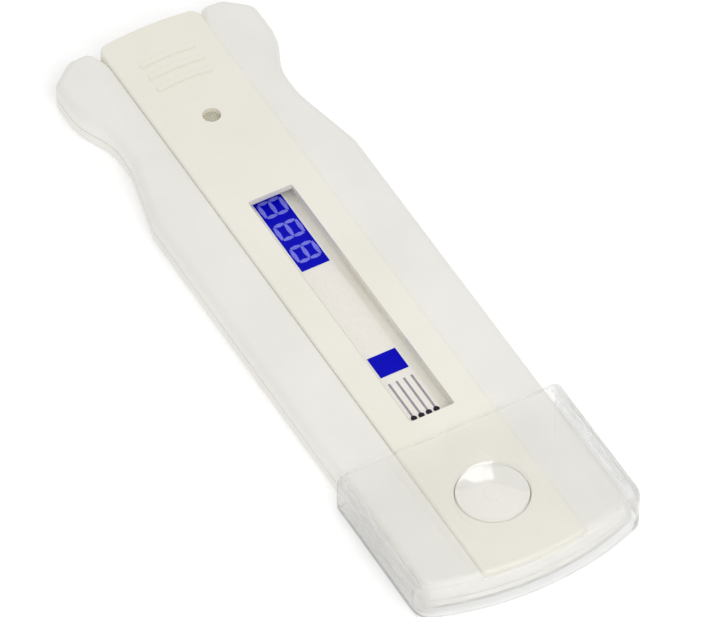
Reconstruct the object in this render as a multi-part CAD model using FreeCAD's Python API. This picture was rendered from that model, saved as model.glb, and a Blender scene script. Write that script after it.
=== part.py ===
"""Pocket microchip scanner: a slim two-shell hand-held reader with a long
recessed readout, a raised centre cover and a clear slip-on end cap.

Frame, in millimetres: +Z up from the resting underside, +Y towards the grip
end, -Y towards the capped reading head, origin under the middle of the length.
"""
import FreeCAD, Part
import math
import os

V = FreeCAD.Vector

# ---- overall sizes -------------------------------------------------------
LENGTH = 160.0            # clear cap's end to the grip's end
CAP_WIDTH = 49.6          # over the clear cap's sides
CAP_LENGTH = 36.7
SPINE_WIDTH = 22.4        # the raised centre cover
CELL_RADIUS = 10.0        # the coin cells set how thick the object is
CELL_THICK = 3.2

# ---- walls, fits and small radii ----------------------------------------
CAP_WALL = 1.5
CAP_END_WALL = 1.7
CAP_FIT = 0.3             # cap to body, each side
WALL = 1.3                # side walls of both shells
FLOOR = 1.3               # floor of the lower shell, and the battery door
ROOF = 1.2                # roof of the wings
COVER = 1.2               # the centre cover
DECK = 1.0                # the deck that the cover lies on
GAP = 0.15                # between fixed pieces
COVER_FIT = 0.06          # centre cover to the wings, each side
SLIDE_GAP = 0.1           # between the door's tongues and their grooves
SEAM = 0.25               # shadow gap where the shells meet
BOTTOM_ROUND = 1.2
WING_ROUND = 1.8
COVER_ROUND = 0.5
OPENING_ROUND = 0.15      # edges of the cover's slot, key hole and sound port
CAP_ROUND = 2.6
CAP_BOTTOM_ROUND = 1.0

# ---- levels, from the underside up ---------------------------------------
LEAF_ROOM = 1.18          # for the spring contacts between the cells and the deck
CELL_BOTTOM = FLOOR + 0.12
CELL_TOP = CELL_BOTTOM + CELL_THICK
SPINE_TOP = CELL_TOP + LEAF_ROOM + DECK + COVER
CAP_HEADROOM = 0.7        # between the cover and the cap's ceiling
CAP_HEIGHT = SPINE_TOP + CAP_HEADROOM + CAP_WALL
PARTING = 3.2             # the two shells meet here
WING_DROP = 0.8           # cover's top above the wings at the seam
WING_SLOPE = 0.7          # fall of a wing from the seam to its side
HEAD_LIFT = CAP_WALL      # the head is raised by the cap's floor

# ---- derived places ------------------------------------------------------
NEAR_END = -LENGTH / 2
FAR_END = LENGTH / 2
BODY_HALF = CAP_WIDTH / 2 - CAP_WALL - CAP_FIT - 0.2
CAP_RIM = NEAR_END + CAP_LENGTH
SPINE_HALF = SPINE_WIDTH / 2
RECESS_HALF = SPINE_HALF + GAP
COVER_HALF = RECESS_HALF - COVER_FIT
DECK_TOP = SPINE_TOP - COVER
DECK_UNDER = DECK_TOP - DECK
SEAM_Z = SPINE_TOP - WING_DROP
CAP_FLOOR_TOP = HEAD_LIFT - 0.2
CAP_CEILING = CAP_HEIGHT - CAP_WALL
HEAD_FLOOR = HEAD_LIFT + ROOF
HEAD_STEP = CAP_RIM + CAP_FIT
HEAD_END = NEAR_END + CAP_END_WALL + 2 * CAP_FIT
BUTTON_Y = NEAR_END + 20.0
CELL_PITCH = 2 * CELL_RADIUS + 0.8
CELL_FAR_Y = FAR_END - WALL - CELL_RADIUS - 3.3
CELL_NEAR_Y = CELL_FAR_Y - CELL_PITCH

# ---- plan shape ----------------------------------------------------------
CAP_END_RADIUS = 64.0
CAP_CORNER = 4.0
FAR_END_RADIUS = 70.0
SPINE_CORNER = 2.2
SPINE_NEAR_CORNER = 1.5
NOTCH_DEPTH = 2.9
NOTCH_WIDTH = 1.3
TIP_REACH = 4.7           # where a wing's tip starts to round, from the seam
TIP_ROUND = 2.2
TIP_OUTER_ROUND = 3.0
SHOULDER_DROP = 4.2
SHOULDER_ROUND = 3.4
HIP_Y = FAR_END - 14.0    # the waist starts below the grip's shoulders
HIP_ROUND = 14.0
WAIST_Y = FAR_END - 22.5
WAIST_LOW_Y = FAR_END - 30.0
WAIST_ROUND = 14.0
WAIST_LOW_ROUND = 22.0
WAIST_IN = 3.9            # how far each side draws in at the waist
ELBOW_Y = FAR_END - 46.0  # the sides are straight from here to the head
ELBOW_ROUND = 6.0

# ---- readout -------------------------------------------------------------
SLOT_HALF = 4.9
SLOT_NEAR = CAP_RIM + 6.5
SLOT_FAR = CELL_NEAR_Y - CELL_RADIUS - 6.5
SLOT_CORNER = 0.4
STRIP_HALF = 3.5
STRIP_TOP = SPINE_TOP - 3.3
STRIP_THICK = 0.6
TRAY_WALL = 0.8
TRAY_RIB = 0.2            # the strip lies this far above the tray's floor
TRAY_OVERLAP = 2.2        # how far the tray runs on past the slot's ends
PRINT = 0.1               # thickness of the panels laid on the strip
READOUT_FAR = SLOT_FAR + 1.8
READOUT_NEAR = READOUT_FAR - 20.5
READOUT_WIDTH = 6.2
DIGITS = 3
DIGIT_SHIFT = 0.6         # the figures sit off the panel's middle, towards the grip
DIGIT_PITCH = 6.6
DIGIT_WIDTH = 4.2         # along Y
DIGIT_HEIGHT = 5.6        # along X
STROKE = 0.62
SQUARE_NEAR = SLOT_NEAR + 14.75
SQUARE_WIDTH = 6.2
SQUARE_LENGTH = 5.5
TRACES = 4
TRACE_PITCH = 1.66
TRACE_WIDTH = 0.45
TRACE_NEAR = SLOT_NEAR + 2.8
TRACE_FAR = SQUARE_NEAR - 2.05
PAD_RADIUS = 0.65

# ---- scan button, switch and aerial --------------------------------------
BUTTON_RADIUS = 7.2
BUTTON_WALL = 1.1
BUTTON_FLANGE = 0.9
BUTTON_GAP = 0.2
BUTTON_TRAVEL = 0.6
BUTTON_EDGE = SPINE_TOP + 0.2
BUTTON_CROWN = 0.2
NUB_RADIUS = 1.4
BOSS_RADIUS = 1.6
BUBBLE_RADIUS = BUTTON_RADIUS - 0.2
BUBBLE_RISE = 1.4
BOARD = 0.8
FLEX = 0.1
SWITCH_BOARD = 0.6
SWITCH_SIDE = 6.0
SWITCH_HEIGHT = 1.0
PLUNGER_RADIUS = 1.2
PLUNGER_PROUD = 0.75
AERIAL_HALF_X = BODY_HALF - WALL - 1.9
AERIAL_CORNER = 5.0
AERIAL_BOW = CAP_END_RADIUS - math.sqrt(CAP_END_RADIUS ** 2 - (AERIAL_HALF_X - 1.5) ** 2)
AERIAL_HALF_Y = BUTTON_Y - HEAD_END - WALL - AERIAL_BOW - 0.6
AERIAL_HEIGHT = 2.3
AERIAL_FLANGE = 0.4
AERIAL_CORE = 1.4
COIL_DEPTH = 1.3

# ---- battery -------------------------------------------------------------
CELL_LID_RADIUS = CELL_RADIUS - 1.4
CELL_LID_STEP = 0.4
LEAF = 0.2
DOOR_HALF = CELL_RADIUS + 1.2
DOOR_NEAR = CELL_NEAR_Y - CELL_RADIUS - 3.6
TONGUE = 1.0
TONGUE_LOW = 0.6
RAIL_WIDTH = 1.3
GRIP_GROOVES = 4
GRIP_PITCH = 1.8

# ---- sound port and screws -----------------------------------------------
PORT_Y = (CELL_NEAR_Y + CELL_FAR_Y) / 2 - 3.0
PORT_RADIUS = 1.85
SCREEN_RADIUS = 2.6
SCREEN_THICK = 0.3
BEEPER_RADIUS = 7.0
BEEPER_THICK = 0.2
BEEPER_SEAL = 0.3
RIBS = 3
RIB_LENGTH = 12.4
RIB_WIDTH = 1.1
RIB_RISE = 0.3
RIB_BOW = 40.0            # radius that the ribs are bowed to
RIB_PITCH = 3.6
RIB_FIRST_Y = FAR_END - 16.0
SCREW_X = BODY_HALF - 5.4
SCREW_NEAR_Y = CAP_RIM + 9.3
SCREW_FAR_Y = FAR_END - 9.5
SCREW_RADIUS = 1.0
SCREW_HEAD_RADIUS = 1.8
SCREW_HEAD = 0.9
SCREW_SUNK = 0.2
SCREW_LENGTH = 4.9
SCREW_GAP = 0.05
POST_RADIUS = 2.5


# ---- small makers --------------------------------------------------------
def box(x0, x1, y0, y1, z0, z1):
    return Part.makeBox(x1 - x0, y1 - y0, z1 - z0, V(x0, y0, z0))


def slab(half, y0, y1, z0, z1):
    """A box that is symmetrical about the centre line."""
    return box(-half, half, y0, y1, z0, z1)


def disc(x, y, radius, z0, z1):
    return Part.makeCylinder(radius, z1 - z0, V(x, y, z0))


def rounded_wire(corners):
    """Straight runs joined by tangent arcs, from (x, y, radius) corners."""
    ends = []
    count = len(corners)
    for i, (x, y, radius) in enumerate(corners):
        here = V(x, y, 0)
        back = (V(*corners[i - 1][:2], 0) - here).normalize()
        ahead = (V(*corners[(i + 1) % count][:2], 0) - here).normalize()
        half = back.getAngle(ahead) / 2
        if radius == 0:
            ends.append((here, None, here))
            continue
        reach = radius / math.tan(half)
        middle = (back + ahead).normalize()
        crown = here + middle * (radius / math.sin(half) - radius)
        ends.append((here + back * reach, crown, here + ahead * reach))
    edges = []
    for i, (start, crown, stop) in enumerate(ends):
        if crown is not None:
            edges.append(Part.Arc(start, crown, stop).toShape())
        following = ends[(i + 1) % count][0]
        if (following - stop).Length > 1e-6:
            edges.append(Part.LineSegment(stop, following).toShape())
    return Part.Wire(edges)


def extrude(wire, z0, z1):
    face = Part.Face(wire)
    face.translate(V(0, 0, z0))
    return face.extrude(V(0, 0, z1 - z0))


def bowed_end(half, apex, radius, corner, way):
    """Corners of a bowed end: way is +1 at the grip and -1 at the head."""
    turn = math.asin((half - corner) / (radius - corner))
    point = apex + way * radius * (1 / math.cos(turn) - 1)
    side = point - way * half * math.tan(turn)
    return [(half, side, corner), (0, point, radius)]


def mirrored(right):
    """Corners down the right side, then the same up the left."""
    middle = [c for c in right if c[0] == 0]
    left = [(-x, y, r) for x, y, r in reversed(right) if x != 0]
    first = [c for c in right if c[0] != 0]
    return middle[:1] + first + middle[1:] + left


def fillet(shape, radius, wanted):
    edges = [e for e in shape.Edges if wanted(e)]
    return shape.makeFillet(radius, edges)


def middle_of(edge):
    return edge.valueAt((edge.FirstParameter + edge.LastParameter) / 2)


def flat_at(z):
    """Picks the edges that lie whole at height z."""
    def wanted(edge):
        box_ = edge.BoundBox
        return abs(box_.ZMin - z) < 1e-4 and abs(box_.ZMax - z) < 1e-4
    return wanted


# ---- shared outlines -----------------------------------------------------
NOTCH_Y = FAR_END - NOTCH_DEPTH
TIP_X = RECESS_HALF + NOTCH_WIDTH


def wing_side():
    """Corners down the right side, from the wing's tip to the bowed head."""
    corner, nose = bowed_end(BODY_HALF, HEAD_END, CAP_END_RADIUS, CAP_CORNER, -1)
    waist = BODY_HALF - WAIST_IN
    side = [(TIP_X, FAR_END, TIP_ROUND), (TIP_X + TIP_REACH, FAR_END, TIP_OUTER_ROUND)]
    side += [(BODY_HALF, FAR_END - SHOULDER_DROP, SHOULDER_ROUND)]
    side += [(BODY_HALF, HIP_Y, HIP_ROUND), (waist, WAIST_Y, WAIST_ROUND)]
    side += [(waist + 0.1, WAIST_LOW_Y, WAIST_LOW_ROUND)]
    return side + [(BODY_HALF, ELBOW_Y, ELBOW_ROUND), corner, nose]


def body_wire():
    """Plan of both shells: grip tips, waist, straight sides, bowed head."""
    side, tip = bowed_end(SPINE_HALF, FAR_END - 0.2, FAR_END_RADIUS, SPINE_CORNER, 1)
    right = [tip, side, (RECESS_HALF, NOTCH_Y, 0)] + wing_side()
    return rounded_wire(mirrored(right))


def wing():
    """The right wing, solid: sloping top, rounded outer edge, cut at the recess."""
    inner = RECESS_HALF - 4
    slope = WING_SLOPE / (BODY_HALF - RECESS_HALF)
    deep = NOTCH_Y - (RECESS_HALF - inner) * NOTCH_DEPTH / NOTCH_WIDTH
    side = wing_side()
    wire = rounded_wire([(inner, deep, 0)] + side + [(-BODY_HALF, side[-2][1], 0)])
    block = extrude(wire, PARTING, SPINE_TOP + 1)
    block = block.common(box(inner, CAP_WIDTH, NEAR_END, FAR_END + 1, 0, SPINE_TOP + 1))
    top = [(x, SEAM_Z - slope * (x - RECESS_HALF)) for x in (0, CAP_WIDTH)]
    ring = [V(x, NEAR_END - 1, z) for x, z in top + [(CAP_WIDTH, 0), (0, 0)]]
    under = Part.Face(Part.makePolygon(ring + ring[:1])).extrude(V(0, LENGTH + 2, 0))

    def outer_edge(edge):
        point = middle_of(edge)
        height = SEAM_Z - slope * (point.x - RECESS_HALF)
        return abs(point.z - height) < 1e-3 and point.x > inner + 1e-3

    block = fillet(block.common(under), WING_ROUND, outer_edge)
    return block.common(box(RECESS_HALF, CAP_WIDTH, NEAR_END, FAR_END + 1, 0, SPINE_TOP + 1))


def left_and_right(shape):
    return shape.fuse(shape.mirror(V(0, 0, 0), V(1, 0, 0)))


def body_block(inset, z0, z1):
    wire = body_wire()
    if inset:
        wire = wire.makeOffset2D(-inset)
    return extrude(wire, z0, z1)


def under_roof():
    """Everything under the inside of the wings' roof and of the deck."""
    slope = WING_SLOPE / (BODY_HALF - RECESS_HALF)
    half = RECESS_HALF + WALL / 2
    fall = slope * (CAP_WIDTH - half)
    right = [(half, DECK_UNDER), (half, SEAM_Z - ROOF), (CAP_WIDTH, SEAM_Z - ROOF - fall), (CAP_WIDTH, 0)]
    ring = [V(x, NEAR_END - 1, z) for x, z in right + [(-x, z) for x, z in reversed(right)]]
    return Part.Face(Part.makePolygon(ring + ring[:1])).extrude(V(0, LENGTH + 2, 0))


def each_screw():
    for y in (SCREW_NEAR_Y, SCREW_FAR_Y):
        for x in (-SCREW_X, SCREW_X):
            yield x, y


# ---- shells and covers ---------------------------------------------------
def lower_outside():
    """The lower shell's outside, before it is hollowed."""
    block = body_block(0, 0, PARTING)
    block = fillet(block, BOTTOM_ROUND, flat_at(0))
    lip = body_block(0, PARTING - SEAM, PARTING)
    lip = lip.cut(body_block(SEAM, PARTING - SEAM, PARTING))
    return block.cut(lip)


def door_path(gap):
    """The battery door's plate and tongues, grown by gap, out past the end."""
    far = FAR_END + 10
    near = DOOR_NEAR - gap
    plate = slab(DOOR_HALF + gap, near, far, -1, FLOOR + gap * 0.5)
    tongue = slab(DOOR_HALF + TONGUE + gap, near, far, TONGUE_LOW - gap, FLOOR + gap)
    return plate.fuse(tongue)


def lower_shell():
    shell = lower_outside()
    shell = shell.cut(slab(CAP_WIDTH, NEAR_END, HEAD_STEP, -1, HEAD_LIFT))
    hollow = body_block(WALL, FLOOR, PARTING + 1)
    kept = slab(CAP_WIDTH, NEAR_END, HEAD_STEP + WALL, 0, HEAD_FLOOR)
    shell = shell.cut(hollow.cut(kept))
    rail_in = CELL_RADIUS + 0.4
    rail_out = DOOR_HALF + TONGUE + RAIL_WIDTH
    rails = slab(rail_out, DOOR_NEAR, FAR_END - WALL, 0.3, PARTING)
    rails = rails.cut(slab(rail_in, DOOR_NEAR - 1, FAR_END, 0, PARTING + 1))
    shell = shell.fuse(rails.common(lower_outside()))
    for x, y in each_screw():
        shell = shell.fuse(disc(x, y, POST_RADIUS, FLOOR / 2, PARTING))
    for y in (SCREW_NEAR_Y + 6, SLOT_FAR - 6):
        for x in (-SLOT_HALF * 2, SLOT_HALF * 2):
            shell = shell.fuse(disc(x, y, BOSS_RADIUS, FLOOR / 2, FLOOR + 0.5))
    shell = shell.cut(door_path(SLIDE_GAP))
    for x, y in each_screw():
        head_top = SCREW_SUNK + SCREW_HEAD
        shell = shell.cut(disc(x, y, SCREW_HEAD_RADIUS + GAP, -1, head_top))
        shell = shell.cut(disc(x, y, SCREW_RADIUS + GAP, -1, PARTING + 1))
    return shell.removeSplitter()


def upper_shell():
    middle = slab(RECESS_HALF, NEAR_END, FAR_END, PARTING, DECK_TOP)
    outside = left_and_right(wing()).fuse(body_block(0, PARTING, SPINE_TOP).common(middle))
    shell = outside.cut(body_block(WALL, PARTING - 1, SPINE_TOP).common(under_roof()))
    for x, y in each_screw():
        shell = shell.fuse(disc(x, y, POST_RADIUS, PARTING, SPINE_TOP).common(outside))
    window = slab(SLOT_HALF + 0.6, SLOT_NEAR - 0.6, SLOT_FAR + 0.6, DECK_UNDER - 1, SPINE_TOP)
    shell = shell.cut(window)
    shell = shell.cut(disc(0, BUTTON_Y, BUTTON_RADIUS + BUTTON_GAP, PARTING, SPINE_TOP))
    shell = shell.cut(disc(0, PORT_Y, PORT_RADIUS, PARTING, SPINE_TOP))
    shell = shell.cut(disc(0, PORT_Y, SCREEN_RADIUS + GAP, DECK_TOP - SCREEN_THICK, SPINE_TOP))
    pilot_top = SCREW_SUNK + SCREW_LENGTH + 0.3
    for x, y in each_screw():
        shell = shell.cut(disc(x, y, SCREW_RADIUS + SCREW_GAP, PARTING - 1, pilot_top))
    return shell.removeSplitter()


def grip_rib(y):
    """One slightly bowed rib moulded on the cover for the thumb."""
    z0, z1 = SPINE_TOP - COVER / 2, SPINE_TOP + RIB_RISE
    ring = disc(0, y - RIB_BOW, RIB_BOW, z0, z1).cut(disc(0, y - RIB_BOW, RIB_BOW - RIB_WIDTH, z0, z1))
    rib = ring.common(slab(RIB_LENGTH / 2, y - RIB_BOW / 2, y + 1, z0, z1))
    return fillet(rib, RIB_WIDTH / 2 - 0.05, lambda e: e.BoundBox.ZLength > z1 - z0 - 1e-3)


def spine_cover():
    far = bowed_end(COVER_HALF, FAR_END - 0.2, FAR_END_RADIUS, SPINE_CORNER, 1)
    near = bowed_end(COVER_HALF, HEAD_END + 0.4, CAP_END_RADIUS, SPINE_NEAR_CORNER, -1)
    wire = rounded_wire(mirrored([far[1], far[0], near[0], near[1]]))
    cover = fillet(extrude(wire, DECK_TOP, SPINE_TOP), COVER_ROUND, flat_at(SPINE_TOP))
    slot = [(SLOT_HALF, SLOT_NEAR), (SLOT_HALF, SLOT_FAR), (-SLOT_HALF, SLOT_FAR), (-SLOT_HALF, SLOT_NEAR)]
    slot_wire = rounded_wire([(x, y, SLOT_CORNER) for x, y in slot])
    cover = cover.cut(extrude(slot_wire, DECK_TOP - 1, SPINE_TOP + 1))
    cover = cover.cut(disc(0, BUTTON_Y, BUTTON_RADIUS + BUTTON_GAP, DECK_TOP - 1, SPINE_TOP + 1))
    cover = cover.cut(disc(0, PORT_Y, PORT_RADIUS, DECK_TOP - 1, SPINE_TOP + 1))

    def on_opening(edge):
        point = middle_of(edge)
        inside = abs(point.x) < COVER_HALF - 1 and HEAD_END + 2 < point.y < FAR_END - 2
        return inside and flat_at(SPINE_TOP)(edge)

    cover = fillet(cover, OPENING_ROUND, on_opening)
    for i in range(RIBS):
        cover = cover.fuse(grip_rib(RIB_FIRST_Y + i * RIB_PITCH))
    return cover.removeSplitter()


def cap_wire(inset, near, far):
    corner = max(CAP_CORNER - inset, 1.0)
    side, nose = bowed_end(CAP_WIDTH / 2 - inset, near, CAP_END_RADIUS - inset, corner, -1)
    half = side[0]
    return rounded_wire([(half, far, 0), side, nose, (-half, side[1], corner), (-half, far, 0)])


def end_cap():
    """The clear cap: a sleeve closed at the head's end, with a domed bubble."""
    cap = extrude(cap_wire(0, NEAR_END, CAP_RIM), 0, CAP_HEIGHT)

    def on_rim(edge):
        return edge.BoundBox.YMin > CAP_RIM - 1e-3

    cap = fillet(cap, CAP_ROUND, lambda e: flat_at(CAP_HEIGHT)(e) and not on_rim(e))
    cap = fillet(cap, CAP_BOTTOM_ROUND, lambda e: flat_at(0)(e) and not on_rim(e))
    ball = (BUBBLE_RADIUS ** 2 + BUBBLE_RISE ** 2) / (2 * BUBBLE_RISE)
    centre = V(0, BUTTON_Y, CAP_HEIGHT + BUBBLE_RISE - ball)
    above = disc(0, BUTTON_Y, BUBBLE_RADIUS, CAP_CEILING, CAP_HEIGHT + BUBBLE_RISE + 1)
    cap = cap.fuse(Part.makeSphere(ball, centre).common(above))
    hollow = extrude(cap_wire(CAP_WALL, NEAR_END + CAP_END_WALL, CAP_RIM + 1), CAP_FLOOR_TOP, CAP_CEILING)
    cap = cap.cut(hollow)
    inner = Part.makeSphere(ball - CAP_WALL + 0.3, centre)
    under = disc(0, BUTTON_Y, BUBBLE_RADIUS, CAP_CEILING - 0.1, CAP_HEIGHT + BUBBLE_RISE)
    return cap.cut(inner.common(under)).removeSplitter()


def battery_door():
    plate = lower_outside().common(slab(DOOR_HALF, DOOR_NEAR, FAR_END + 1, -1, FLOOR))
    tongue_far = FAR_END - NOTCH_DEPTH - 1.5
    tongue = slab(DOOR_HALF + TONGUE, DOOR_NEAR, tongue_far, TONGUE_LOW, FLOOR)
    door = plate.fuse(tongue).cut(bridge_contact())
    for i in range(GRIP_GROOVES):
        y = SCREW_FAR_Y - i * GRIP_PITCH
        door = door.cut(slab(DOOR_HALF / 2, y, y + GRIP_PITCH / 2, -1, 0.4))
    return door.removeSplitter()


# ---- readout pieces ------------------------------------------------------
BOARD_BOTTOM = FLOOR + 0.5
BOARD_TOP = BOARD_BOTTOM + BOARD
TRAY_NEAR = SLOT_NEAR - TRAY_OVERLAP
TRAY_FAR = SLOT_FAR + 2 * TRAY_OVERLAP
CONNECTOR_NEAR = READOUT_FAR - 2.6


def display_tray():
    """A light moulding on the board that carries the strip on a rib."""
    half = SLOT_HALF + 0.6 + TRAY_WALL
    tray = slab(half, TRAY_NEAR, TRAY_FAR, BOARD_TOP, DECK_UNDER - 0.05)
    strip_under = STRIP_TOP - STRIP_THICK
    floor = strip_under - TRAY_RIB
    pocket = slab(half - TRAY_WALL, TRAY_NEAR + TRAY_WALL, TRAY_FAR - TRAY_WALL, floor, DECK_UNDER)
    rib = slab(STRIP_HALF - 0.2, TRAY_NEAR, CONNECTOR_NEAR - GAP, BOARD_TOP, strip_under)
    well = slab(STRIP_HALF, CONNECTOR_NEAR - GAP, TRAY_FAR - TRAY_WALL, 0, strip_under)
    return tray.cut(pocket).fuse(rib).cut(well).removeSplitter()


def display_connector():
    near = CONNECTOR_NEAR
    return slab(STRIP_HALF - 0.3, near, READOUT_FAR, BOARD_TOP, STRIP_TOP - STRIP_THICK)


def display_strip():
    near = TRAY_NEAR + TRAY_WALL + GAP
    far = TRAY_FAR - TRAY_WALL - GAP
    return slab(STRIP_HALF, near, far, STRIP_TOP - STRIP_THICK, STRIP_TOP)


def readout_panel():
    return slab(READOUT_WIDTH / 2, READOUT_NEAR, READOUT_FAR, STRIP_TOP, STRIP_TOP + PRINT)


def readout_digits():
    """Seven-bar figures of eight, read with the grip to the left."""
    middle = (READOUT_NEAR + READOUT_FAR) / 2 + DIGIT_SHIFT
    z0, z1 = STRIP_TOP + PRINT, STRIP_TOP + PRINT * 1.5
    across, along = DIGIT_HEIGHT / 2, DIGIT_WIDTH / 2
    nip = STROKE * 0.6
    bars = []
    for i in range(DIGITS):
        y = middle + (i - (DIGITS - 1) / 2) * DIGIT_PITCH
        for x in (-across + STROKE / 2, 0, across - STROKE / 2):
            bars.append(box(x - STROKE / 2, x + STROKE / 2, y - along + nip, y + along - nip, z0, z1))
        for x0, x1 in ((-across + nip, -nip), (nip, across - nip)):
            bars.append(box(x0, x1, y - along - STROKE / 2, y - along + STROKE / 2, z0, z1))
            bars.append(box(x0, x1, y + along - STROKE / 2, y + along + STROKE / 2, z0, z1))
    return Part.Compound(bars)


def status_square():
    return slab(SQUARE_WIDTH / 2, SQUARE_NEAR, SQUARE_NEAR + SQUARE_LENGTH, STRIP_TOP, STRIP_TOP + PRINT)


def trace_x():
    return [(i - (TRACES - 1) / 2) * TRACE_PITCH for i in range(TRACES)]


def strip_traces():
    half = TRACE_WIDTH / 2
    near = TRACE_NEAR + PAD_RADIUS
    return Part.Compound([box(x - half, x + half, near, TRACE_FAR, STRIP_TOP, STRIP_TOP + PRINT / 2)
                          for x in trace_x()])


def strip_pads():
    y = TRACE_NEAR
    return Part.Compound([disc(x, y, PAD_RADIUS - 0.02, STRIP_TOP, STRIP_TOP + PRINT) for x in trace_x()])


# ---- electronics ---------------------------------------------------------
BOARD_NEAR = HEAD_STEP + WALL + 0.7
BOARD_FAR = CELL_NEAR_Y - CELL_RADIUS - 0.4
BOARD_HALF = BODY_HALF - WALL - 1.5
CHIP_X = SLOT_HALF + 9.0
CHIP_Y = (BOARD_NEAR + BOARD_FAR) / 2


def main_board():
    board = slab(BOARD_HALF, BOARD_NEAR, BOARD_FAR, BOARD_BOTTOM, BOARD_TOP)
    board = board.cut(slab(BODY_HALF, DOOR_NEAR - 1, BOARD_FAR + 1, 0, PARTING)
                      .cut(slab(CELL_RADIUS, DOOR_NEAR - 2, BOARD_FAR + 2, 0, PARTING)))
    for x, y in each_screw():
        board = board.cut(disc(x, y, POST_RADIUS + 0.4, 0, PARTING))
    return board


def chip(x, y, half_x, half_y, height):
    return box(x - half_x, x + half_x, y - half_y, y + half_y, BOARD_TOP, BOARD_TOP + height)


def capacitors():
    return Part.Compound([chip(side * 9.2, CHIP_Y + (i - 2) * 9, 0.6, 1.0, 0.9)
                          for side in (-1, 1) for i in range(5)])


def switch_board():
    return slab(9.0, BUTTON_Y - 7, BUTTON_Y + 7, HEAD_FLOOR, HEAD_FLOOR + SWITCH_BOARD)


SWITCH_BOTTOM = HEAD_FLOOR + SWITCH_BOARD
SWITCH_TOP = SWITCH_BOTTOM + SWITCH_HEIGHT
PLUNGER_TOP = SWITCH_TOP + PLUNGER_PROUD
BORE_BOTTOM = SWITCH_TOP - BUTTON_TRAVEL - 0.2


def switch_body():
    half = SWITCH_SIDE / 2
    body = slab(half, BUTTON_Y - half, BUTTON_Y + half, SWITCH_BOTTOM, SWITCH_TOP)
    body = fillet(body, 0.3, lambda e: e.BoundBox.ZLength > SWITCH_HEIGHT / 2)
    return body.cut(disc(0, BUTTON_Y, PLUNGER_RADIUS + 0.05, BORE_BOTTOM, SWITCH_TOP + 1))


def switch_plunger():
    bottom = BORE_BOTTOM + BUTTON_TRAVEL + 0.05
    return disc(0, BUTTON_Y, PLUNGER_RADIUS, bottom, PLUNGER_TOP)


def switch_flex():
    far = BOARD_NEAR + 2
    floor = HEAD_FLOOR
    return slab(2.0, BUTTON_Y + 7 + GAP, far, max(floor, BOARD_TOP), max(floor, BOARD_TOP) + FLEX)


def scan_button():
    """A crowned key with a flange that the deck holds down."""
    bottom = PLUNGER_TOP + 0.05
    flange_top = DECK_UNDER - 0.1
    crown = BUTTON_EDGE + BUTTON_CROWN
    ball = (BUTTON_RADIUS ** 2 + BUTTON_CROWN ** 2) / (2 * BUTTON_CROWN)
    dome = Part.makeSphere(ball, V(0, BUTTON_Y, crown - ball))
    key = disc(0, BUTTON_Y, BUTTON_RADIUS, bottom, crown).common(dome)
    inner = BUTTON_RADIUS - BUTTON_WALL
    key = key.cut(disc(0, BUTTON_Y, inner, bottom - 1, BUTTON_EDGE - BUTTON_WALL))
    ring = disc(0, BUTTON_Y, BUTTON_RADIUS + BUTTON_FLANGE, flange_top - 0.7, flange_top)
    key = key.fuse(ring.cut(disc(0, BUTTON_Y, inner, 0, SPINE_TOP)))
    key = key.fuse(disc(0, BUTTON_Y, BOSS_RADIUS, bottom, BUTTON_EDGE))
    nub_ball = Part.makeSphere(NUB_RADIUS * 1.6, V(0, BUTTON_Y, crown + 0.2 - NUB_RADIUS * 1.6))
    nub = nub_ball.common(disc(0, BUTTON_Y, NUB_RADIUS, BUTTON_EDGE - 0.4, crown + 1))
    return key.fuse(nub).removeSplitter()


def ring_block(half_x, half_y, corner, z0, z1):
    y = BUTTON_Y
    wire = rounded_wire([(half_x, y + half_y, corner), (half_x, y - half_y, corner),
                         (-half_x, y - half_y, corner), (-half_x, y + half_y, corner)])
    return extrude(wire, z0, z1)


AERIAL_BOTTOM = HEAD_FLOOR + FLEX + 0.1
AERIAL_TOP = AERIAL_BOTTOM + AERIAL_HEIGHT


def aerial_ring(inset, depth, z0, z1):
    outside = ring_block(AERIAL_HALF_X - inset, AERIAL_HALF_Y - inset, AERIAL_CORNER - inset, z0, z1)
    inner = inset + depth
    inside = ring_block(AERIAL_HALF_X - inner, AERIAL_HALF_Y - inner, AERIAL_CORNER - inner, z0 - 1, z1 + 1)
    return outside.cut(inside)


def aerial_bobbin():
    core = aerial_ring(COIL_DEPTH + 0.1, AERIAL_CORE, AERIAL_BOTTOM, AERIAL_TOP)
    whole = COIL_DEPTH + 0.1 + AERIAL_CORE
    low = aerial_ring(0, whole, AERIAL_BOTTOM, AERIAL_BOTTOM + AERIAL_FLANGE)
    high = aerial_ring(0, whole, AERIAL_TOP - AERIAL_FLANGE, AERIAL_TOP)
    return core.fuse(low).fuse(high).removeSplitter()


def aerial_coil():
    gap = AERIAL_FLANGE + 0.05
    return aerial_ring(0.1, COIL_DEPTH - 0.05, AERIAL_BOTTOM + gap, AERIAL_TOP - gap)


def aerial_leads():
    z = max(HEAD_FLOOR, BOARD_TOP)
    near = BUTTON_Y + AERIAL_HALF_Y + 0.1
    return Part.Compound([box(x, x + 0.5, near, BOARD_NEAR + 1.5, z, z + 0.4) for x in (-3.5, 3.0)])


# ---- battery pieces ------------------------------------------------------
LEAF_Z = CELL_TOP + 0.35


def coin_cell(y):
    """A steel can with the smaller lid's step round its upper face."""
    can = disc(0, y, CELL_RADIUS, CELL_BOTTOM, CELL_TOP - CELL_LID_STEP)
    can = fillet(can, 0.3, flat_at(CELL_BOTTOM))
    return can.fuse(disc(0, y, CELL_LID_RADIUS, CELL_TOP - 2 * CELL_LID_STEP, CELL_TOP)).removeSplitter()


def leaf_tail(x0, x1):
    return box(x0, x1, BOARD_FAR - 0.5, BOARD_FAR - 0.5 + LEAF, BOARD_TOP, LEAF_Z + LEAF)


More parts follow.
